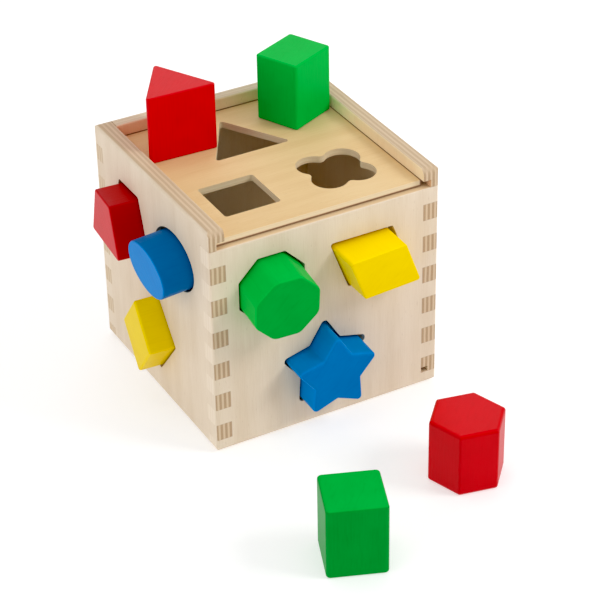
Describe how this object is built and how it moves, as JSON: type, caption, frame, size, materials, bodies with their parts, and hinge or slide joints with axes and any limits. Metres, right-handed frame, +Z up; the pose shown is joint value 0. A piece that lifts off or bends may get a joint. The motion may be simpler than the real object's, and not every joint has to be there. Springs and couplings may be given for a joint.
{
  "type": "shape sorter",
  "caption": "Finger-jointed plywood cube with a sliding lid and shaped posting holes, with painted wooden blocks that fit the holes, some posted, some loose.",
  "frame": {"origin": "centre of the box footprint, at the level the box and the loose blocks stand on", "axes": "+X from the left wall to the right wall, +Y from the front wall to the back wall, +Z up"},
  "size_m": [0.1582, 0.2738, 0.1726],
  "materials": {
    "birch_plywood": "sanded, clear matt",
    "lid_plywood": "sanded, clear matt",
    "paint_red": "satin paint",
    "paint_green": "satin paint",
    "paint_yellow": "satin paint",
    "paint_blue": "satin paint"
  },
  "bodies": {
    "box": {"left_wall": "birch_plywood", "right_wall": "birch_plywood", "front_wall": "birch_plywood", "back_wall": "birch_plywood", "bottom_panel": "birch_plywood"},
    "lid": {"lid": "lid_plywood"},
    "octagon_block": {"green_octagon": "paint_green"},
    "parallelogram_block": {"yellow_parallelogram": "paint_yellow"},
    "star_block": {"blue_star": "paint_blue"},
    "trapezoid_block": {"red_trapezoid": "paint_red"},
    "oval_block": {"blue_oval": "paint_blue"},
    "rhombus_block": {"yellow_rhombus": "paint_yellow"},
    "triangle_block": {"red_triangle": "paint_red"},
    "rectangle_block": {"green_rectangle": "paint_green"},
    "hexagon_block": {"red_hexagon": "paint_red"},
    "square_block": {"green_square": "paint_green"},
    "quatrefoil_block": {"blue_quatrefoil": "paint_blue"},
    "pentagon_block": {"yellow_pentagon": "paint_yellow"}
  },
  "joints": [
    {"name": "lid_slide", "type": "slide", "parent": "box", "child": "lid", "axis": [0, -1, 0], "range_m": [0, 0.13]},
    {"name": "octagon_post", "type": "slide", "parent": "box", "child": "octagon_block", "axis": [-0.0503, -0.9936, -0.1011], "range_m": [0, 0.024]},
    {"name": "parallelogram_post", "type": "slide", "parent": "box", "child": "parallelogram_block", "axis": [0.0435, -0.9969, -0.0663], "range_m": [-0.015, 0.027]},
    {"name": "star_post", "type": "slide", "parent": "box", "child": "star_block", "axis": [-0.0262, -0.9994, -0.0209], "range_m": [-0.015, 0.027]},
    {"name": "trapezoid_post", "type": "slide", "parent": "box", "child": "trapezoid_block", "axis": [-0.9967, 0.0802, -0.0105], "range_m": [-0.012, 0.027]},
    {"name": "oval_post", "type": "slide", "parent": "box", "child": "oval_block", "axis": [-0.9958, 0.0104, -0.0906], "range_m": [-0.012, 0.026]},
    {"name": "rhombus_post", "type": "slide", "parent": "box", "child": "rhombus_block", "axis": [-0.9976, 0.068, -0.0105], "range_m": [-0.012, 0.029]},
    {"name": "triangle_lift", "type": "slide", "parent": "lid", "child": "triangle_block", "axis": [0, 0, 1], "range_m": [0, 0.08]},
    {"name": "rectangle_lift", "type": "slide", "parent": "lid", "child": "rectangle_block", "axis": [0, 0, 1], "range_m": [0, 0.08]},
    {"name": "hexagon_lift", "type": "slide", "parent": "box", "child": "hexagon_block", "axis": [0, 0, 1], "range_m": [0, 0.08]},
    {"name": "square_lift", "type": "slide", "parent": "box", "child": "square_block", "axis": [0, 0, 1], "range_m": [0, 0.08]},
    {"name": "quatrefoil_lift", "type": "slide", "parent": "box", "child": "quatrefoil_block", "axis": [0, 0, 1], "range_m": [0, 0.07]},
    {"name": "pentagon_lift", "type": "slide", "parent": "box", "child": "pentagon_block", "axis": [0, 0, 1], "range_m": [0, 0.07]}
  ]
}
